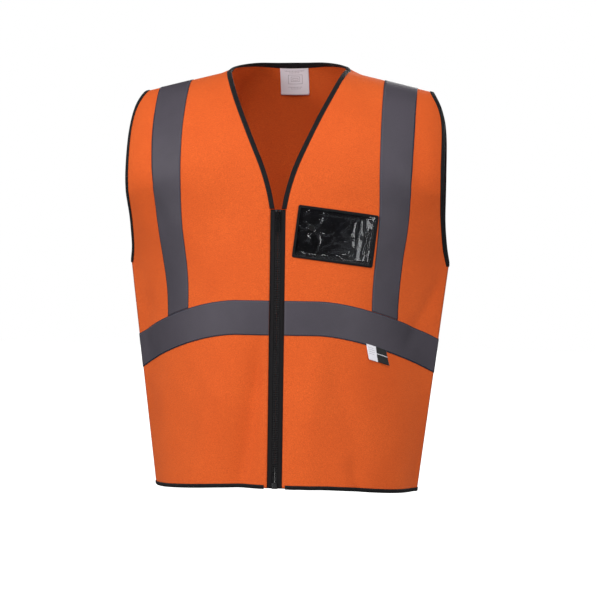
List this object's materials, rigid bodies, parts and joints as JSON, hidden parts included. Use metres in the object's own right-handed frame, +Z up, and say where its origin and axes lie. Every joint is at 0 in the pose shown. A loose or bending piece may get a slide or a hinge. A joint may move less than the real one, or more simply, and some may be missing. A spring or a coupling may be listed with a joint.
{
  "type": "safety vest",
  "caption": "Sleeveless hi-vis vest: orange knit panels, black binding, grey reflective tape, front zip and chest card pocket",
  "frame": {"origin": "middle of the neck opening, level with the inner ends of the shoulder seams", "axes": "+Z up, the front faces -Y, the wearer's left is +X"},
  "size_m": [0.4862, 0.2585, 0.6476],
  "materials": {
    "orange_fabric": "matte",
    "reflective_tape": "matte",
    "black_binding": "matte",
    "zip_tape": "matte",
    "zip_plastic": "satin",
    "zip_metal": "satin",
    "painted_slider": "satin",
    "pocket_sheet": "satin",
    "clear_vinyl": "gloss",
    "white_label": "matte"
  },
  "bodies": {
    "back": {"back_panel": "orange_fabric", "left_front_upper": "orange_fabric", "right_front_upper": "orange_fabric", "neck_binding_back": "black_binding", "neck_binding_left": "black_binding", "neck_binding_right": "black_binding", "armhole_binding_left_front": "black_binding", "armhole_binding_left_back": "black_binding", "armhole_binding_right_front": "black_binding", "armhole_binding_right_back": "black_binding", "hem_binding_back": "black_binding", "brace_tape_left_upper": "reflective_tape", "brace_tape_left_back": "reflective_tape", "brace_tape_right_upper": "reflective_tape", "brace_tape_right_back": "reflective_tape", "waist_tape_back": "reflective_tape", "care_label": "white_label"},
    "left_front": {"left_front_lower": "orange_fabric", "hem_binding_left": "black_binding", "brace_tape_left_lower": "reflective_tape", "waist_tape_left": "reflective_tape", "zip_tape_left": "zip_tape", "zip_teeth_left": "zip_plastic", "top_stop_left": "zip_metal", "retaining_box": "zip_metal", "retaining_pin": "zip_metal", "pocket_backing": "pocket_sheet", "pocket_window": "clear_vinyl", "pocket_trim": "black_binding", "stud_cap": "zip_plastic", "stud_base": "zip_plastic", "side_tag": "white_label"},
    "right_front": {"right_front_lower": "orange_fabric", "hem_binding_right": "black_binding", "brace_tape_right_lower": "reflective_tape", "waist_tape_right": "reflective_tape", "zip_tape_right": "zip_tape", "zip_teeth_right": "zip_plastic", "top_stop_right": "zip_metal", "insertion_pin": "zip_metal"},
    "slider": {"zip_slider": "painted_slider"},
    "pull": {"zip_pull": "painted_slider"}
  },
  "joints": [
    {"name": "left_front_open", "type": "hinge", "parent": "back", "child": "left_front", "pos_m": [0.2442, 0.03, -0.283], "axis": [0.124, 0, 0.9923], "range_deg": [0, 35]},
    {"name": "right_front_open", "type": "hinge", "parent": "back", "child": "right_front", "pos_m": [-0.2442, 0.03, -0.283], "axis": [0.124, 0, -0.9923], "range_deg": [0, 35]},
    {"name": "slider_travel", "type": "slide", "parent": "left_front", "child": "slider", "axis": [0, 0, -1], "range_m": [0, 0.3805]},
    {"name": "pull_swing", "type": "hinge", "parent": "slider", "child": "pull", "pos_m": [0, -0.1252, -0.2175], "axis": [-1, 0, 0], "range_deg": [0, 160]}
  ],
  "couplings": [
    {"joint": "right_front_open", "follows": "left_front_open", "ratio": 1}
  ]
}
